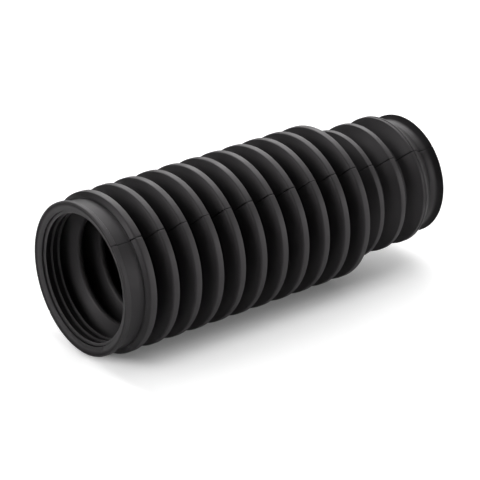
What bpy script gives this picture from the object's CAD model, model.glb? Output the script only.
import math

import bpy
import numpy as np
from mathutils import Matrix, Vector


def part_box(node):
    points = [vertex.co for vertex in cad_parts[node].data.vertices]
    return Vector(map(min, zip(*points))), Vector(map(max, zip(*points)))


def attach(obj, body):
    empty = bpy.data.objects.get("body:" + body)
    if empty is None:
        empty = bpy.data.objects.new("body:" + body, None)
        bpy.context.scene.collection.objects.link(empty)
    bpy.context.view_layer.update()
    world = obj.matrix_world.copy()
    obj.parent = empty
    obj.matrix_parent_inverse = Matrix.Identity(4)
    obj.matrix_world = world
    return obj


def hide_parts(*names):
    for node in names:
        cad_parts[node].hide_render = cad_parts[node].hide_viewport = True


# A black rubber bellows boot. The row stands it on its large end, +Z to the small end. The main
# camera sees it lying on its side, so there is a second floor for the lying boot.

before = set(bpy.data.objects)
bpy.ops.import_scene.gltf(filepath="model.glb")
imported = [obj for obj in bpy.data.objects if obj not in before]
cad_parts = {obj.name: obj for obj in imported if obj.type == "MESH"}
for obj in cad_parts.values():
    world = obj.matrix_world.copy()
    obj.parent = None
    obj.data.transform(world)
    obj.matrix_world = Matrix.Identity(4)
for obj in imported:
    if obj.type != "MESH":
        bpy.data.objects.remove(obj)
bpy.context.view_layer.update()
NODE = "bellows_boot"
MM = 0.001

# Sizes from the frame. All sizes of the boot are in millimetres, and heights count from its large end.
node_low, node_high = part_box(NODE)
LENGTH = (node_high[2] - node_low[2]) / MM
CREST_RADIUS = (node_high[0] - node_low[0]) / 2 / MM

# Large folds
FOLD_PITCH = 11.0
LARGE_FOLDS = 11
VALLEY_RADIUS = 25.0
CREST_LAND = 2.85
VALLEY_FLOOR = 1.6
FIRST_CREST_END = 12.8

# Small folds, with how far each one sits from an even pitch
SMALL_PITCH = 12.3
SMALL_SHIFTS = (0.1, -0.25, 0.05)
SMALL_FOLDS = len(SMALL_SHIFTS)
SMALL_CREST_RADIUS = 27.9
NECK_RADIUS = 22.0
SMALL_CREST_LAND = 2.2
SMALL_FLANK_RUN = 4.6
STEP_PITCH = 12.6

# A shallow trough along the last crest's land: where it falls, from the land's front edge, and where it
# rises, from the rear edge
TROUGH_DEPTH = 0.2
TROUGH_FALL = (0.7, 1.0)
TROUGH_RISE = (0.7, 0.5)
TROUGH_ROUNDING = 0.1

# Wall and the hollows inside the folds
CREST_WALL = 1.9
VALLEY_WALL = 1.5
HOLLOW_TOP = 1.0
INNER_CREST_LAND = 1.8
HOLLOW_SETBACK = 0.7
SMALL_HOLLOW_SETBACK = 1.1

# Roundings of the folds, and how far a front flank bulges
FRONT_EDGE_ROUNDING = 1.0
SMALL_FRONT_ROUNDING = 0.6
REAR_EDGE_ROUNDING = 0.08
LAST_REAR_ROUNDING = 0.25
VALLEY_ROUNDING = 0.75
HOLLOW_ROUNDING = 0.45
NOSE_ROUNDING = 1.4
FLANK_BULGE = 0.1
BULGE_STEPS = (0.2, 0.4, 0.6, 0.8)

# The most of a straight run that the rounding at one end may take
ROUNDING_ROOM = 0.49

# Large end: the lip, whose face slopes from its tip into the mouth, the collar and the shoulder
LIP_RADIUS = 31.4
LIP_LENGTH = 2.1
LIP_ROUNDING = 1.1
LIP_REAR_ROUNDING = 0.25
LIP_ROOT_ROUNDING = 0.3
LIP_TIP_RADIUS = 30.3
LIP_TIP_ROUNDING = 0.5
LIP_FACE_INNER = 29.2
LIP_FACE_DEPTH = 0.45
LIP_FACE_ROUNDING = 0.4
LARGE_COLLAR_RADIUS = 30.4
COLLAR_ROUNDING = 0.7
SHOULDER_RADIUS = 31.2
SHOULDER_START = 8.65
SHOULDER_ROUNDING = 0.06

# Mouth, as (radius, height): the end of its chamfer and of the short wall behind it
MOUTH_EDGE = (27.5, 1.05)
MOUTH_EDGE_ROUNDING = 0.12
MOUTH_WALL_END = (27.4, 1.9)
MOUTH_WALL_ROUNDING = 0.1

# Sealing ribs
RIBS = 3
RIB_PITCH = 3.35
FIRST_RIB_MIDDLE = 2.4
RIB_RADIUS = 26.2
RIB_LAND = 0.3
RIB_ROOT_RADIUS = 27.2
RIB_FRONT_RUN = 0.25
RIB_BACK_RUN = 0.3
RIB_ROUNDING = 0.12
RIB_ROOT_ROUNDING = 0.15

# Small end: the sleeve, which flares out to the flange's rim
SLEEVE_RADIUS = 24.0
SLEEVE_FLANK_RUN = 5.2
SLEEVE_ROUNDING = 3.5
SLEEVE_BORE_RADIUS = 21.5
SLEEVE_BORE_ROUNDING = 0.2
FLANGE_RADIUS = 25.9
FLANGE_THICKNESS = 0.7
FLANGE_ROUNDING = 0.35
FLARE_LENGTH = 2.1
FLARE_ROUNDING = 2.0
BORE_CHAMFER = 0.6
BORE_EDGE_ROUNDING = 0.1

# Up and sideways for the lying boot. It bends a little upwards from BEND_START to the small end.
UP = Vector((1, -1, 0)).normalized()
SIDE = Vector((1, 1, 0)).normalized()
BEND_START = 59.0
BEND_AT_END = 1.1

# The mouth is turned a little against the folds, which fades out along the collar
MOUTH_TURN = 0.018
MOUTH_TURN_END = 11.0

# Slight unevenness of a flexible moulding: waves round it, whose phase drifts along it. The radius
# takes a share of what the height takes, in a phase of its own.
WAVES = (2, 3, 5)
WAVE_SIZE = 0.05
WAVE_RUN = (14, 26)
WAVE_IN_RADIUS = 0.5
WAVE_PHASE_IN_RADIUS = 1.7

# Parting lines near +X and -X: a groove, which fades out at SEAM_FADE half widths and is shallower in
# the valleys, and a burr where it crosses a crest's rear edge
SEAM_ANGLES = (0.012, math.pi + 0.012)
SEAM_HALF_WIDTH = 0.2
SEAM_WIDTH_SPREAD = 0.5
SEAM_FADE = 1.6
SEAM_DEPTH = 0.35
SEAM_DEPTH_SPREAD = 0.25
SEAM_DEPTH_IN_VALLEYS = 0.2
SEAM_VALLEY_TOP = 1.5
BURR_REACH = 0.45
BURR_SHARES = (0.3, 1)
BURR_EDGE_DEPTH = 0.2
BURR_REAR_FACING = 0.2

# The mesh: even steps of the turn, which keep clear of the parting lines, the steps beside those, in
# degrees, and the turn between two points of a rounding
TURN_STEPS = 120
SEAM_STEPS = (0, 0.17, 0.34, 0.6, 1.1)
SEAM_CLEARANCE = 1.6
ARC_STEP = math.radians(22)
SEED = 11

# How much the rubber is rubbed, from 0 to 1. A crest's land is rubbed least at its front edge.
CREST_WEAR = (0.4, 1.0)
SLEEVE_FLANK_WEAR = 0.9
LIP_EDGE_WEAR = 0.4
LIP_FACE_WEAR = 0.5
RIB_WEAR = 1.0
NOSE_WEAR = 0.6

# Where the rubbed places end: the spans are shares of a land or a flank, the depths are millimetres
# below its top, and the lip's face is rubbed round its inner edge, up to a height
LAND_SHARES = (-0.1, 1.1)
LAND_DEPTH = 0.12
FLANK_SHARES = (0.02, 1)
LIP_EDGE_DEPTH = 0.5
LIP_FACE_REACH = 0.35
LIP_FACE_TOP = 0.8
RIB_TOP_DEPTH = 0.1
NOSE_TOP_DEPTH = 0.3
RIBS_END = SHOULDER_START + 2

# How much of its gloss the rubber lacks, from 0 to 1
FLARE_MATT = 0.68
VALLEY_MATT = 0.7
LIP_MATT = 0.5
SEAM_MATT = 0.6

# Where that changes, as (start, run): along from the flare's start, and outwards from the valleys'
# radius and from the lip's. The margin is from the inner edge of the lip's face.
FLARE_CHANGE = (-0.3, 1.2)
VALLEY_CHANGE = (0.4, 1.2)
LIP_CHANGE = (-0.9, 0.6)
LIP_FACE_MARGIN = 0.1

# Rubber
RUBBER_DARK = (0.0033, 0.0029, 0.0032, 1)
RUBBER_LIGHT = (0.007, 0.0066, 0.007, 1)
RUBBED = (0.034, 0.032, 0.033, 1)
SEAM_BLACK = (0.003, 0.003, 0.003, 1)
GLOSS_TINT = (1.0, 0.955, 0.985, 1)
RUBBER_ROUGHNESS = (0.44, 0.57)

# Its bloom, turned lines and grain, the spans of that noise over which the colour and the roughness
# change, and the relief of the lines and the grain, in metres
BLOOM = {"scale": 120.0, "detail": 3.0, "roughness": 0.6}
LINES = {"scale": 1700.0, "detail": 1.0}
GRAIN = {"scale": 5200.0}
COLOUR_SPAN = (0.3, 0.7)
ROUGHNESS_SPAN = (0.4, 0.9)
LINES_IN_ROUGHNESS = 0.3
LINE_RELIEF = 0.00004
GRAIN_RELIEF = 0.00001
RELIEF_STRENGTH = 0.6

# Lying floor, in metres across the boot and along it: its own light is weaker under the folds, from the
# lip to the neck, and stronger in front of the lip
FLOOR_WHITE = (0.82, 0.82, 0.82, 1)
LYING_FLOOR_HALF = 2.0
FLOOR_GLOW = 0.42
SHADE_GLOW = 0.06
SHADE_ACROSS = (0.011, 0.034)
SHADE_FROM_LIP = (-0.004, 0.009)
LIP_SLANT = 0.5
SHADE_TO_NECK = (0.115, 0.177)
FRONT_LIFT = 0.2
FRONT_ALONG = (-0.004, 0.003)

# Standing floor, in metres from the boot's axis: its own light is weaker round the foot
STANDING_FLOOR_HALF = 3.0
STANDING_GLOW = 0.72
FOOT_GLOW = 0.1
FOOT_REACH = (0.030, 0.055)

# Room light, and soft panels round the lying boot: the height over its floor and the turn from its
# axis, in degrees, and the power in watts
ROOM_LIGHT = 0.005
BOOT_MIDDLE = Vector((0, 0, LENGTH * MM / 2))
PANEL_SIZE = 0.9
PANEL_DISTANCE = 1.1
PANELS = {
    "right_low": (8, 60, 4.96),
    "left_low": (8, 180, 4.92),
    "back": (35, 300, 5.05),
    "back_right": (35, 330, 4.94),
    "left": (35, 180, 2.92),
    "left_front": (35, 210, 2.08),
    "front": (35, 90, 1.29),
    "right_high": (62, 0, 3.07),
    "top": (88, 0, 2.15),
}

# Main camera: its place, its right and its down, each as (up, side, along) of the lying boot
CAMERA_PLACE = (375.5, 675.4, -475.7)
CAMERA_RIGHT = (0.0, 0.63598, 0.77170)
CAMERA_DOWN = (-0.91688, 0.30804, -0.25387)
LENS = 174.64
SENSOR = 36.0
CLIP = (0.01, 20.0)


def crest_end(fold):
    """Height of the rear edge of a large fold's crest."""
    return FIRST_CREST_END + fold * FOLD_PITCH


def small_crest_end(fold):
    """Height of the rear edge of a small fold's crest."""
    return crest_end(LARGE_FOLDS - 1) + STEP_PITCH + fold * SMALL_PITCH + SMALL_SHIFTS[fold]


LAST_CREST_END = small_crest_end(SMALL_FOLDS - 1)


# The outline is a list of corners, each (radius, height, rounding, bulge of the run that follows)

def large_end_corners():
    """The outside of the lip, the collar and the shoulder."""
    return [
        (LIP_RADIUS, 0, LIP_ROUNDING, 0),
        (LIP_RADIUS, LIP_LENGTH, LIP_REAR_ROUNDING, 0),
        (LARGE_COLLAR_RADIUS, LIP_LENGTH, LIP_ROOT_ROUNDING, 0),
        (LARGE_COLLAR_RADIUS, SHOULDER_START, COLLAR_ROUNDING, 0),
        (SHOULDER_RADIUS, SHOULDER_START, SHOULDER_ROUNDING, 0),
    ]


def large_fold_corners():
    """The outside of the large folds, to the foot of the step behind them."""
    corners = []
    flank_run = (FOLD_PITCH - CREST_LAND - VALLEY_FLOOR) / 2
    for fold in range(LARGE_FOLDS):
        end = crest_end(fold)
        if fold > 0:
            corners.append((VALLEY_RADIUS, end - CREST_LAND - flank_run, VALLEY_ROUNDING, FLANK_BULGE))
        corners.append((CREST_RADIUS, end - CREST_LAND, FRONT_EDGE_ROUNDING, 0))
        corners.append((CREST_RADIUS, end, REAR_EDGE_ROUNDING, 0))
        if fold < LARGE_FOLDS - 1:
            corners.append((VALLEY_RADIUS, end + flank_run, VALLEY_ROUNDING, 0))
    slope = flank_run / (CREST_RADIUS - VALLEY_RADIUS)
    step_foot = crest_end(LARGE_FOLDS - 1) + slope * (CREST_RADIUS - NECK_RADIUS)
    corners.append((NECK_RADIUS, step_foot, VALLEY_ROUNDING, 0))
    return corners


def trough_corners():
    """The trough along the last crest's land."""
    start = LAST_CREST_END - SMALL_CREST_LAND
    floor = SMALL_CREST_RADIUS - TROUGH_DEPTH
    return [
        (SMALL_CREST_RADIUS, start + TROUGH_FALL[0], TROUGH_ROUNDING, 0),
        (floor, start + TROUGH_FALL[1], TROUGH_ROUNDING, 0),
        (floor, LAST_CREST_END - TROUGH_RISE[0], TROUGH_ROUNDING, 0),
        (SMALL_CREST_RADIUS, LAST_CREST_END - TROUGH_RISE[1], TROUGH_ROUNDING, 0),
    ]


def small_fold_corners():
    """The outside of the small folds."""
    corners = []
    for fold in range(SMALL_FOLDS):
        end = small_crest_end(fold)
        start = end - SMALL_CREST_LAND
        corners.append((NECK_RADIUS, start - SMALL_FLANK_RUN, VALLEY_ROUNDING, FLANK_BULGE))
        corners.append((SMALL_CREST_RADIUS, start, SMALL_FRONT_ROUNDING, 0))
        if fold < SMALL_FOLDS - 1:
            corners.append((SMALL_CREST_RADIUS, end, REAR_EDGE_ROUNDING, 0))
            corners.append((NECK_RADIUS, end + SMALL_FLANK_RUN, VALLEY_ROUNDING, 0))
    return corners + trough_corners() + [(SMALL_CREST_RADIUS, LAST_CREST_END, LAST_REAR_ROUNDING, 0)]


def small_end_corners():
    """The outside of the sleeve, its flare and the flange."""
    flange_start = LENGTH - FLANGE_THICKNESS
    return [
        (SLEEVE_RADIUS, LAST_CREST_END + SLEEVE_FLANK_RUN, SLEEVE_ROUNDING, 0),
        (SLEEVE_RADIUS, flange_start - FLARE_LENGTH, FLARE_ROUNDING, 0),
        (FLANGE_RADIUS, flange_start, FLANGE_ROUNDING, 0),
        (FLANGE_RADIUS, LENGTH, FLANGE_ROUNDING, 0),
    ]


def hollow(middle, radius, foot, rear_radius, front_radius):
    """The inside of one fold, from its rear foot over the hollow to its front foot."""
    return [
        (rear_radius, middle + foot, NOSE_ROUNDING, 0),
        (radius, middle + HOLLOW_TOP / 2, HOLLOW_ROUNDING, 0),
        (radius, middle - HOLLOW_TOP / 2, HOLLOW_ROUNDING, 0),
        (front_radius, middle - foot, NOSE_ROUNDING, 0),
    ]


def rib(middle):
    """The inside of one sealing rib, from back to front."""
    rear = middle + RIB_LAND / 2
    front = middle - RIB_LAND / 2
    return [
        (RIB_ROOT_RADIUS, rear + RIB_BACK_RUN, RIB_ROOT_ROUNDING, 0),
        (RIB_RADIUS, rear, RIB_ROUNDING, 0),
        (RIB_RADIUS, front, RIB_ROUNDING, 0),
        (RIB_ROOT_RADIUS, front - RIB_FRONT_RUN, RIB_ROOT_ROUNDING, 0),
    ]


def inner_corners():
    """The inside from the flange back to the lip's tip."""
    neck_bore = NECK_RADIUS - VALLEY_WALL
    inner_crest = VALLEY_RADIUS - VALLEY_WALL
    corners = [
        (SLEEVE_BORE_RADIUS + BORE_CHAMFER, LENGTH, BORE_EDGE_ROUNDING, 0),
        (SLEEVE_BORE_RADIUS, LENGTH - BORE_CHAMFER, SLEEVE_BORE_ROUNDING, 0),
    ]
    small_foot = HOLLOW_TOP / 2 + SMALL_FLANK_RUN
    for fold in reversed(range(SMALL_FOLDS)):
        middle = small_crest_end(fold) - SMALL_HOLLOW_SETBACK
        rear = neck_bore if fold < SMALL_FOLDS - 1 else SLEEVE_BORE_RADIUS
        corners += hollow(middle, SMALL_CREST_RADIUS - CREST_WALL, small_foot, rear, neck_bore)
    foot = (FOLD_PITCH - INNER_CREST_LAND) / 2
    for fold in reversed(range(LARGE_FOLDS)):
        middle = crest_end(fold) - HOLLOW_SETBACK
        rear = inner_crest if fold < LARGE_FOLDS - 1 else neck_bore
        corners += hollow(middle, CREST_RADIUS - CREST_WALL, foot, rear, inner_crest)
    corners.pop()
    for number in reversed(range(RIBS)):
        corners += rib(FIRST_RIB_MIDDLE + number * RIB_PITCH)
    corners.append((*MOUTH_WALL_END, MOUTH_WALL_ROUNDING, 0))
    corners.append((*MOUTH_EDGE, MOUTH_EDGE_ROUNDING, 0))
    corners.append((LIP_FACE_INNER, LIP_FACE_DEPTH, LIP_FACE_ROUNDING, 0))
    corners.append((LIP_TIP_RADIUS, 0, LIP_TIP_ROUNDING, 0))
    return corners


def corner_arc(before, here, after, rounding):
    """Points of the arc that rounds one corner of the outline."""
    into = (here - before) / np.linalg.norm(here - before)
    out = (after - here) / np.linalg.norm(after - here)
    turn = math.atan2(into[0] * out[1] - into[1] * out[0], into @ out)
    reach = rounding * math.tan(abs(turn) / 2)
    room = ROUNDING_ROOM * min(np.linalg.norm(here - before), np.linalg.norm(after - here))
    radius = rounding * min(1, room / reach)
    start = here - into * radius * math.tan(abs(turn) / 2)
    side = math.copysign(1, turn)
    centre = start + side * radius * np.array([-into[1], into[0]])
    steps = max(1, math.ceil(abs(turn) / ARC_STEP))
    arm = start - centre
    angles = [turn * i / steps for i in range(steps + 1)]
    return [
        centre + np.array([
            arm[0] * math.cos(a) - arm[1] * math.sin(a),
            arm[0] * math.sin(a) + arm[1] * math.cos(a),
        ])
        for a in angles
    ]


def outline():
    """The closed section as an array of (radius, height), with a mark for the outer side."""
    outer = large_end_corners() + large_fold_corners() + small_fold_corners() + small_end_corners()
    corners = outer + inner_corners()
    spots = [np.array(c[:2], float) for c in corners]
    points = []
    marks = []
    for i, (_, _, rounding, bulge) in enumerate(corners):
        arc = corner_arc(spots[i - 1], spots[i], spots[(i + 1) % len(spots)], rounding)
        points += arc
        marks += [i < len(outer)] * len(arc)
        if bulge:
            next_arc = corner_arc(spots[i], spots[i + 1], spots[i + 2], corners[i + 1][2])
            along = next_arc[0] - arc[-1]
            across = np.array([along[1], -along[0]]) / np.linalg.norm(along)
            for share in BULGE_STEPS:
                points.append(arc[-1] + along * share + across * bulge * 4 * share * (1 - share))
                marks.append(True)
    return np.array(points), np.array(marks)


def turn_angles():
    """Angles round the axis, closer together at the parting lines."""
    beside = {sign * math.radians(step) for step in SEAM_STEPS for sign in (-1, 1)}
    spots = [seam + step for seam in SEAM_ANGLES for step in beside]
    for i in range(TURN_STEPS):
        angle = 2 * math.pi * i / TURN_STEPS
        gap = min(abs(math.remainder(angle - seam, 2 * math.pi)) for seam in SEAM_ANGLES)
        if gap > math.radians(SEAM_CLEARANCE):
            spots.append(angle)
    return np.array(sorted(a % (2 * math.pi) for a in spots))


def within(values, span):
    """Which values are inside the span."""
    return (values > span[0]) & (values < span[1])


def ramp(values, start, run):
    """From 0 at start to 1 at start + run."""
    return ((values - start) / run).clip(0, 1)


def rubbed(section, outside):
    """How much each point of the outline is rubbed."""
    radius, height = section.T
    share = np.zeros(len(section))
    crests = [(crest_end(fold), CREST_LAND, CREST_RADIUS) for fold in range(LARGE_FOLDS)]
    crests += [(small_crest_end(fold), SMALL_CREST_LAND, SMALL_CREST_RADIUS) for fold in range(SMALL_FOLDS)]
    for end, land, crest in crests:
        along = (height - end + land) / land
        on_land = outside & within(along, LAND_SHARES) & (radius > crest - LAND_DEPTH)
        share[on_land] = CREST_WEAR[0] + (CREST_WEAR[1] - CREST_WEAR[0]) * along[on_land].clip(0, 1)
    along = (height - LAST_CREST_END) / SLEEVE_FLANK_RUN
    on_flank = outside & within(along, FLANK_SHARES)
    share[on_flank] = SLEEVE_FLANK_WEAR * (1 - along[on_flank] ** 2)
    nose_radius = VALLEY_RADIUS - VALLEY_WALL
    share[(height < LIP_LENGTH) & (radius > LIP_RADIUS - LIP_EDGE_DEPTH)] = LIP_EDGE_WEAR
    share[(height < LIP_FACE_TOP) & (abs(radius - LIP_FACE_INNER) < LIP_FACE_REACH)] = LIP_FACE_WEAR
    share[~outside & (height < RIBS_END) & (radius < RIB_RADIUS + RIB_TOP_DEPTH)] = RIB_WEAR
    share[~outside & (height > RIBS_END) & (radius < nose_radius + NOSE_TOP_DEPTH)] = NOSE_WEAR
    return share


def matt(section, outside):
    """How much of its gloss each point of the outline lacks: the flare, the valleys and the lip's face."""
    radius, height = section.T
    flare_start = LENGTH - FLANGE_THICKNESS - FLARE_LENGTH
    share = FLARE_MATT * ramp(height - flare_start, *FLARE_CHANGE)
    folds = (height > FIRST_CREST_END) & (height < crest_end(LARGE_FOLDS - 1))
    share[folds] = VALLEY_MATT * (1 - ramp(radius[folds] - VALLEY_RADIUS, *VALLEY_CHANGE))
    share *= outside
    face = (height < LIP_LENGTH) & (radius > LIP_FACE_INNER + LIP_FACE_MARGIN)
    share[face] = LIP_MATT * (1 - ramp(radius[face] - LIP_RADIUS, *LIP_CHANGE))
    return share


def make_uneven(radius, height, section, angles, rng):
    """Add the moulding's slight waves to the grid, in place."""
    for waves in WAVES:
        size = WAVE_SIZE / waves
        phase = rng.uniform(0, 2 * math.pi) + section[:, 1:] / rng.uniform(*WAVE_RUN)
        height += size * np.cos(waves * angles[None, :] + phase)
        phase_in_radius = WAVE_PHASE_IN_RADIUS * phase
        radius += WAVE_IN_RADIUS * size * np.sin(waves * angles[None, :] + phase_in_radius)


def uneven_factors(rng, count, most):
    """A column of factors round 1, each at most this far from it."""
    return 1 + most * rng.standard_normal((count, 1)).clip(-1, 1)


def outline_normals(section):
    """The outline's outward directions."""
    along = np.roll(section, -1, axis=0) - np.roll(section, 1, axis=0)
    normals = np.stack([along[:, 1], -along[:, 0]], axis=1)
    return normals / np.linalg.norm(normals, axis=1, keepdims=True)


def cut_seams(radius, height, section, outside, angles, rng):
    """Cut the parting lines into the grid, in place. Returns how much each point is in one of them."""
    count = len(section)
    normals = outline_normals(section)
    in_seam = np.zeros_like(radius)
    near_crest = section[:, 0] > SMALL_CREST_RADIUS - BURR_EDGE_DEPTH
    rear_edges = outside & near_crest & (normals[:, 1] > BURR_REAR_FACING)
    near_valley = section[:, 0] < VALLEY_RADIUS + SEAM_VALLEY_TOP
    valleys = outside & near_valley & (section[:, 1] < LAST_CREST_END)
    plain_depth = np.where(valleys, SEAM_DEPTH_IN_VALLEYS, SEAM_DEPTH)[:, None]
    for seam in SEAM_ANGLES:
        gap = (angles - seam + math.pi) % (2 * math.pi) - math.pi
        width = SEAM_HALF_WIDTH * uneven_factors(rng, count, SEAM_WIDTH_SPREAD)
        share = (1 - np.abs(gap[None, :] * radius) / (SEAM_FADE * width)).clip(0, 1) * outside[:, None]
        in_seam = np.maximum(in_seam, share)
        depth = plain_depth * uneven_factors(rng, count, SEAM_DEPTH_SPREAD)
        burr = rear_edges[:, None] * rng.uniform(*BURR_SHARES, (count, 1)) * (BURR_REACH + depth)
        radius += share * (burr - depth) * normals[:, :1]
        height += share * (burr - depth) * normals[:, 1:]
    return in_seam


def bent(radius, height, angles):
    """The grid's points in the row frame, with the boot's bend and the mouth's turn."""
    past = np.clip(height - BEND_START, 0, None) / (LENGTH - BEND_START)
    offset = BEND_AT_END * past**2
    slope = 2 * BEND_AT_END * past / (LENGTH - BEND_START)
    x = radius * np.cos(angles)[None, :]
    y = radius * np.sin(angles)[None, :]
    up_part = x * UP.x + y * UP.y
    side_part = x * SIDE.x + y * SIDE.y
    z = height - MOUTH_TURN * side_part * np.clip(1 - height / MOUTH_TURN_END, 0, 1)
    return np.stack([x + offset * UP.x, y + offset * UP.y, z - slope * up_part], axis=2)


def boot_points():
    """The boot's points as an array [outline, turn, xyz] in metres, and the marks that its rubber reads.

    The marks say how much each point is in a parting line, rubbed, and without gloss.
    """
    rng = np.random.default_rng(SEED)
    section, outside = outline()
    angles = turn_angles()
    radius = np.repeat(section[:, :1], len(angles), axis=1)
    height = np.repeat(section[:, 1:], len(angles), axis=1)
    make_uneven(radius, height, section, angles, rng)
    in_seam = cut_seams(radius, height, section, outside, angles, rng)
    worn = np.repeat(rubbed(section, outside)[:, None], len(angles), axis=1)
    dull = np.maximum(matt(section, outside)[:, None], SEAM_MATT * in_seam)
    return bent(radius, height, angles) * MM, {"in_seam": in_seam, "worn": worn, "dull": dull}


def grid_faces(rows, columns):
    """Quads of a grid that closes both ways."""
    row = np.arange(rows)[:, None]
    column = np.arange(columns)[None, :]
    row_after = (row + 1) % rows
    column_after = (column + 1) % columns
    quads = np.stack([
        row * columns + column,
        row * columns + column_after,
        row_after * columns + column_after,
        row_after * columns + column,
    ], axis=2)
    return quads.reshape(-1, 4)


def area_normals(points, faces):
    """Normals at the points, in which large faces count more."""
    a, b, c, d = (points[faces[:, k]] for k in range(4))
    across = np.cross(c - a, d - b)
    normals = np.zeros_like(points)
    for k in range(4):
        np.add.at(normals, faces[:, k], across)
    return normals / np.linalg.norm(normals, axis=1, keepdims=True)


def make_boot():
    """The moulding as one closed mesh."""
    grid, marks = boot_points()
    rows, columns = grid.shape[:2]
    points = grid.reshape(-1, 3)
    faces = grid_faces(rows, columns)
    mesh = bpy.data.meshes.new("boot_moulding")
    mesh.from_pydata(points.tolist(), [], faces.tolist())
    mesh.polygons.foreach_set("use_smooth", [True] * len(faces))
    for name, values in marks.items():
        mesh.attributes.new(name, "FLOAT", "POINT").data.foreach_set("value", values.reshape(-1))
    mesh.update()
    mesh.normals_split_custom_set_from_vertices(area_normals(points, faces).tolist())
    boot = bpy.data.objects.new("boot_moulding", mesh)
    bpy.context.collection.objects.link(boot)
    return boot


class Nodes:
    """Short calls for building a node tree."""

    def __init__(self, tree):
        self.tree = tree
        tree.nodes.clear()

    def add(self, kind, inputs=None, **settings):
        node = self.tree.nodes.new(kind)
        for name, value in settings.items():
            setattr(node, name, value)
        for name, value in (inputs or {}).items():
            if isinstance(value, bpy.types.NodeSocket):
                self.tree.links.new(value, node.inputs[name])
            else:
                node.inputs[name].default_value = value
        return node

    def math(self, operation, first, second=0.0):
        return self.add("ShaderNodeMath", {0: first, 1: second}, operation=operation).outputs[0]

    def noise(self, vector, scale, detail=2.0, roughness=0.5):
        inputs = {"Vector": vector, "Scale": scale, "Detail": detail, "Roughness": roughness}
        return self.add("ShaderNodeTexNoise", inputs).outputs["Fac"]

    def spread(self, value, span, low, high, kind="LINEAR"):
        """From low to high while value crosses the span."""
        inputs = {"Value": value, "From Min": span[0], "From Max": span[1], "To Min": low, "To Max": high}
        return self.add("ShaderNodeMapRange", inputs, interpolation_type=kind).outputs["Result"]

    def ease(self, value, span, low, high):
        """As spread, with soft ends."""
        return self.spread(value, span, low, high, "SMOOTHSTEP")

    def blend(self, share, first, second):
        """A mix of two colours."""
        return self.add("ShaderNodeMix", {0: share, 6: first, 7: second}, data_type="RGBA").outputs[2]

    def mark(self, name):
        """A number that the mesh holds at its points."""
        return self.add("ShaderNodeAttribute", attribute_name=name).outputs["Fac"]

    def place(self):
        """The object's own coordinates, whole and apart."""
        whole = self.add("ShaderNodeTexCoord").outputs["Object"]
        return whole, self.add("ShaderNodeSeparateXYZ", {0: whole}).outputs

    def from_axis(self, x, y):
        """Distance from the object's z axis."""
        squares = self.math("ADD", self.math("MULTIPLY", x, x), self.math("MULTIPLY", y, y))
        return self.math("SQRT", squares)


def rubber():
    """Matt black rubber: faint bloom, fine turned lines from the mould, and a grain."""
    material = bpy.data.materials.new("black_rubber")
    material.use_nodes = True
    nodes = Nodes(material.node_tree)
    place, (x, y, z) = nodes.place()
    rings = nodes.add("ShaderNodeCombineXYZ", {0: nodes.from_axis(x, y), 1: z, 2: 0.0}).outputs[0]
    bloom = nodes.noise(place, **BLOOM)
    lines = nodes.noise(rings, **LINES)
    grain = nodes.noise(place, **GRAIN)
    colour = nodes.blend(nodes.spread(bloom, COLOUR_SPAN, 0.0, 1.0), RUBBER_DARK, RUBBER_LIGHT)
    colour = nodes.blend(nodes.mark("worn"), colour, RUBBED)
    colour = nodes.blend(nodes.mark("in_seam"), colour, SEAM_BLACK)
    patches = nodes.math("ADD", bloom, nodes.math("MULTIPLY", lines, LINES_IN_ROUGHNESS))
    roughness = nodes.spread(patches, ROUGHNESS_SPAN, *RUBBER_ROUGHNESS)
    line_relief = nodes.math("MULTIPLY", lines, LINE_RELIEF)
    relief = nodes.math("ADD", line_relief, nodes.math("MULTIPLY", grain, GRAIN_RELIEF))
    bump_inputs = {"Strength": RELIEF_STRENGTH, "Distance": 1.0, "Height": relief}
    bump = nodes.add("ShaderNodeBump", bump_inputs).outputs[0]
    inputs = {"Base Color": colour, "Roughness": roughness, "Specular Tint": GLOSS_TINT, "Normal": bump}
    glossy = nodes.add("ShaderNodeBsdfPrincipled", inputs).outputs[0]
    dusty = nodes.add("ShaderNodeBsdfDiffuse", {"Color": RUBBER_DARK}).outputs[0]
    surface = nodes.add("ShaderNodeMixShader", {0: nodes.mark("dull"), 1: glossy, 2: dusty}).outputs[0]
    nodes.add("ShaderNodeOutputMaterial", {"Surface": surface})
    return material


def glow_under_boot(nodes):
    """The lying floor's own light, by place."""
    _, (x, y, _) = nodes.place()
    across = nodes.math("ABSOLUTE", x)
    along = nodes.math("ADD", y, BOOT_MIDDLE.z)
    near = nodes.ease(across, SHADE_ACROSS, 1.0, 0.0)
    slanted = nodes.math("SUBTRACT", along, nodes.math("MULTIPLY", across, LIP_SLANT))
    past_lip = nodes.ease(slanted, SHADE_FROM_LIP, 0.0, 1.0)
    before_neck = nodes.ease(along, SHADE_TO_NECK, 1.0, 0.0)
    shade = nodes.math("MULTIPLY", nodes.math("MULTIPLY", near, past_lip), before_neck)
    before_lip = nodes.ease(along, FRONT_ALONG, FRONT_LIFT, 0.0)
    return nodes.math("ADD", nodes.spread(shade, (0.0, 1.0), FLOOR_GLOW, SHADE_GLOW), before_lip)


def glow_round_foot(nodes):
    """The standing floor's own light, by place."""
    _, (x, y, _) = nodes.place()
    return nodes.ease(nodes.from_axis(x, y), FOOT_REACH, FOOT_GLOW, STANDING_GLOW)


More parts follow.
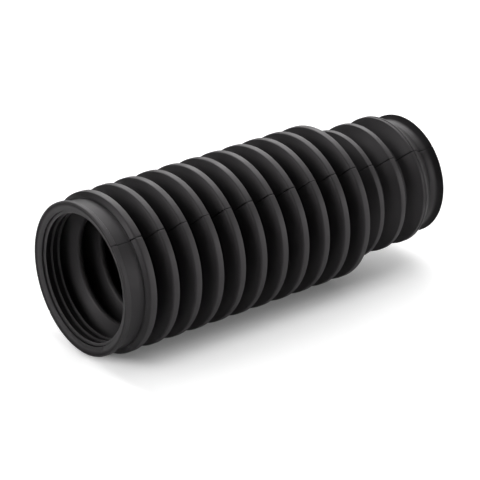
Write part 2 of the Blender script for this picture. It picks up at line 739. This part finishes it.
def floor_material(name, glow_by_place, camera_only):
    """A white floor that shows from above only, with a light of its own for the camera."""
    material = bpy.data.materials.new(name)
    material.use_nodes = True
    nodes = Nodes(material.node_tree)
    camera = nodes.add("ShaderNodeLightPath").outputs["Is Camera Ray"]
    diffuse = nodes.add("ShaderNodeBsdfDiffuse", {"Color": FLOOR_WHITE}).outputs[0]
    strength = nodes.math("MULTIPLY", camera, glow_by_place(nodes))
    glow = nodes.add("ShaderNodeEmission", {"Color": (1, 1, 1, 1), "Strength": strength}).outputs[0]
    lit = nodes.add("ShaderNodeAddShader", {0: diffuse, 1: glow}).outputs[0]
    clear = nodes.add("ShaderNodeBsdfTransparent").outputs[0]
    hidden = nodes.add("ShaderNodeNewGeometry").outputs["Backfacing"]
    if camera_only:
        hidden = nodes.math("MAXIMUM", hidden, nodes.math("SUBTRACT", 1.0, camera))
    surface = nodes.add("ShaderNodeMixShader", {0: hidden, 1: lit, 2: clear}).outputs[0]
    nodes.add("ShaderNodeOutputMaterial", {"Surface": surface})
    return material


def make_floor(name, centre, normal, half_size, material):
    """A square floor whose front faces along normal."""
    mesh = bpy.data.meshes.new(name)
    corners = [(x * half_size, y * half_size, 0) for x, y in ((-1, -1), (1, -1), (1, 1), (-1, 1))]
    mesh.from_pydata(corners, [], [(0, 1, 2, 3)])
    mesh.materials.append(material)
    floor = bpy.data.objects.new(name, mesh)
    turn = Vector(normal).to_track_quat("Z", "Y").to_matrix().to_4x4()
    floor.matrix_world = Matrix.Translation(centre) @ turn
    bpy.context.collection.objects.link(floor)


def make_world():
    """White for the camera, and a soft grey room for everything else."""
    world = bpy.data.worlds.new("studio")
    world.use_nodes = True
    nodes = Nodes(world.node_tree)
    camera = nodes.add("ShaderNodeLightPath").outputs["Is Camera Ray"]
    room = nodes.add("ShaderNodeBackground", {"Color": (1, 1, 1, 1), "Strength": ROOM_LIGHT}).outputs[0]
    white = nodes.add("ShaderNodeBackground", {"Color": (1, 1, 1, 1), "Strength": 1.0}).outputs[0]
    surface = nodes.add("ShaderNodeMixShader", {0: camera, 1: room, 2: white}).outputs[0]
    nodes.add("ShaderNodeOutputWorld", {"Surface": surface})
    bpy.context.scene.world = world


def softbox(name, direction, power):
    """A square soft panel that faces the middle of the boot."""
    data = bpy.data.lights.new(name, "AREA")
    data.shape = "RECTANGLE"
    data.size = PANEL_SIZE
    data.size_y = PANEL_SIZE
    data.energy = power
    lamp = bpy.data.objects.new(name, data)
    away = direction.normalized()
    lamp.location = BOOT_MIDDLE + away * PANEL_DISTANCE
    lamp.rotation_mode = "QUATERNION"
    lamp.rotation_quaternion = away.to_track_quat("Z", "Y")
    bpy.context.collection.objects.link(lamp)


def in_row(up, side, along):
    """A vector given along the lying boot's up, side and axis, in the row frame."""
    return UP * up + SIDE * side + Vector((0, 0, along))


def make_lights():
    """Soft panels all round the lying boot, the strongest low at its ends."""
    for name, (height, turn, power) in PANELS.items():
        e = math.radians(height)
        t = math.radians(turn)
        direction = in_row(math.sin(e), math.sin(t) * math.cos(e), math.cos(t) * math.cos(e))
        softbox(name, direction, power)


def make_camera():
    """The photograph's view of the lying boot."""
    data = bpy.data.cameras.new("main_camera")
    data.lens = LENS
    data.sensor_width = SENSOR
    data.clip_start, data.clip_end = CLIP
    camera = bpy.data.objects.new("main_camera", data)
    right = in_row(*CAMERA_RIGHT).normalized()
    up = (-in_row(*CAMERA_DOWN)).normalized()
    back = right.cross(up)
    turn = Matrix((right, up, back)).transposed()
    place = in_row(*CAMERA_PLACE) * MM
    camera.matrix_world = Matrix.Translation(place) @ turn.to_4x4()
    bpy.context.collection.objects.link(camera)
    bpy.context.scene.camera = camera


boot = make_boot()
boot.data.materials.append(rubber())
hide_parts(NODE)
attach(boot, "root")

lying_white = floor_material("lying_floor_white", glow_under_boot, camera_only=False)
standing_white = floor_material("standing_floor_white", glow_round_foot, camera_only=True)
make_floor("lying_floor", BOOT_MIDDLE - UP * CREST_RADIUS * MM, UP, LYING_FLOOR_HALF, lying_white)
make_floor("standing_floor", (0, 0, 0), (0, 0, 1), STANDING_FLOOR_HALF, standing_white)
make_world()
make_lights()
make_camera()
bpy.context.scene.view_settings.view_transform = "Standard"
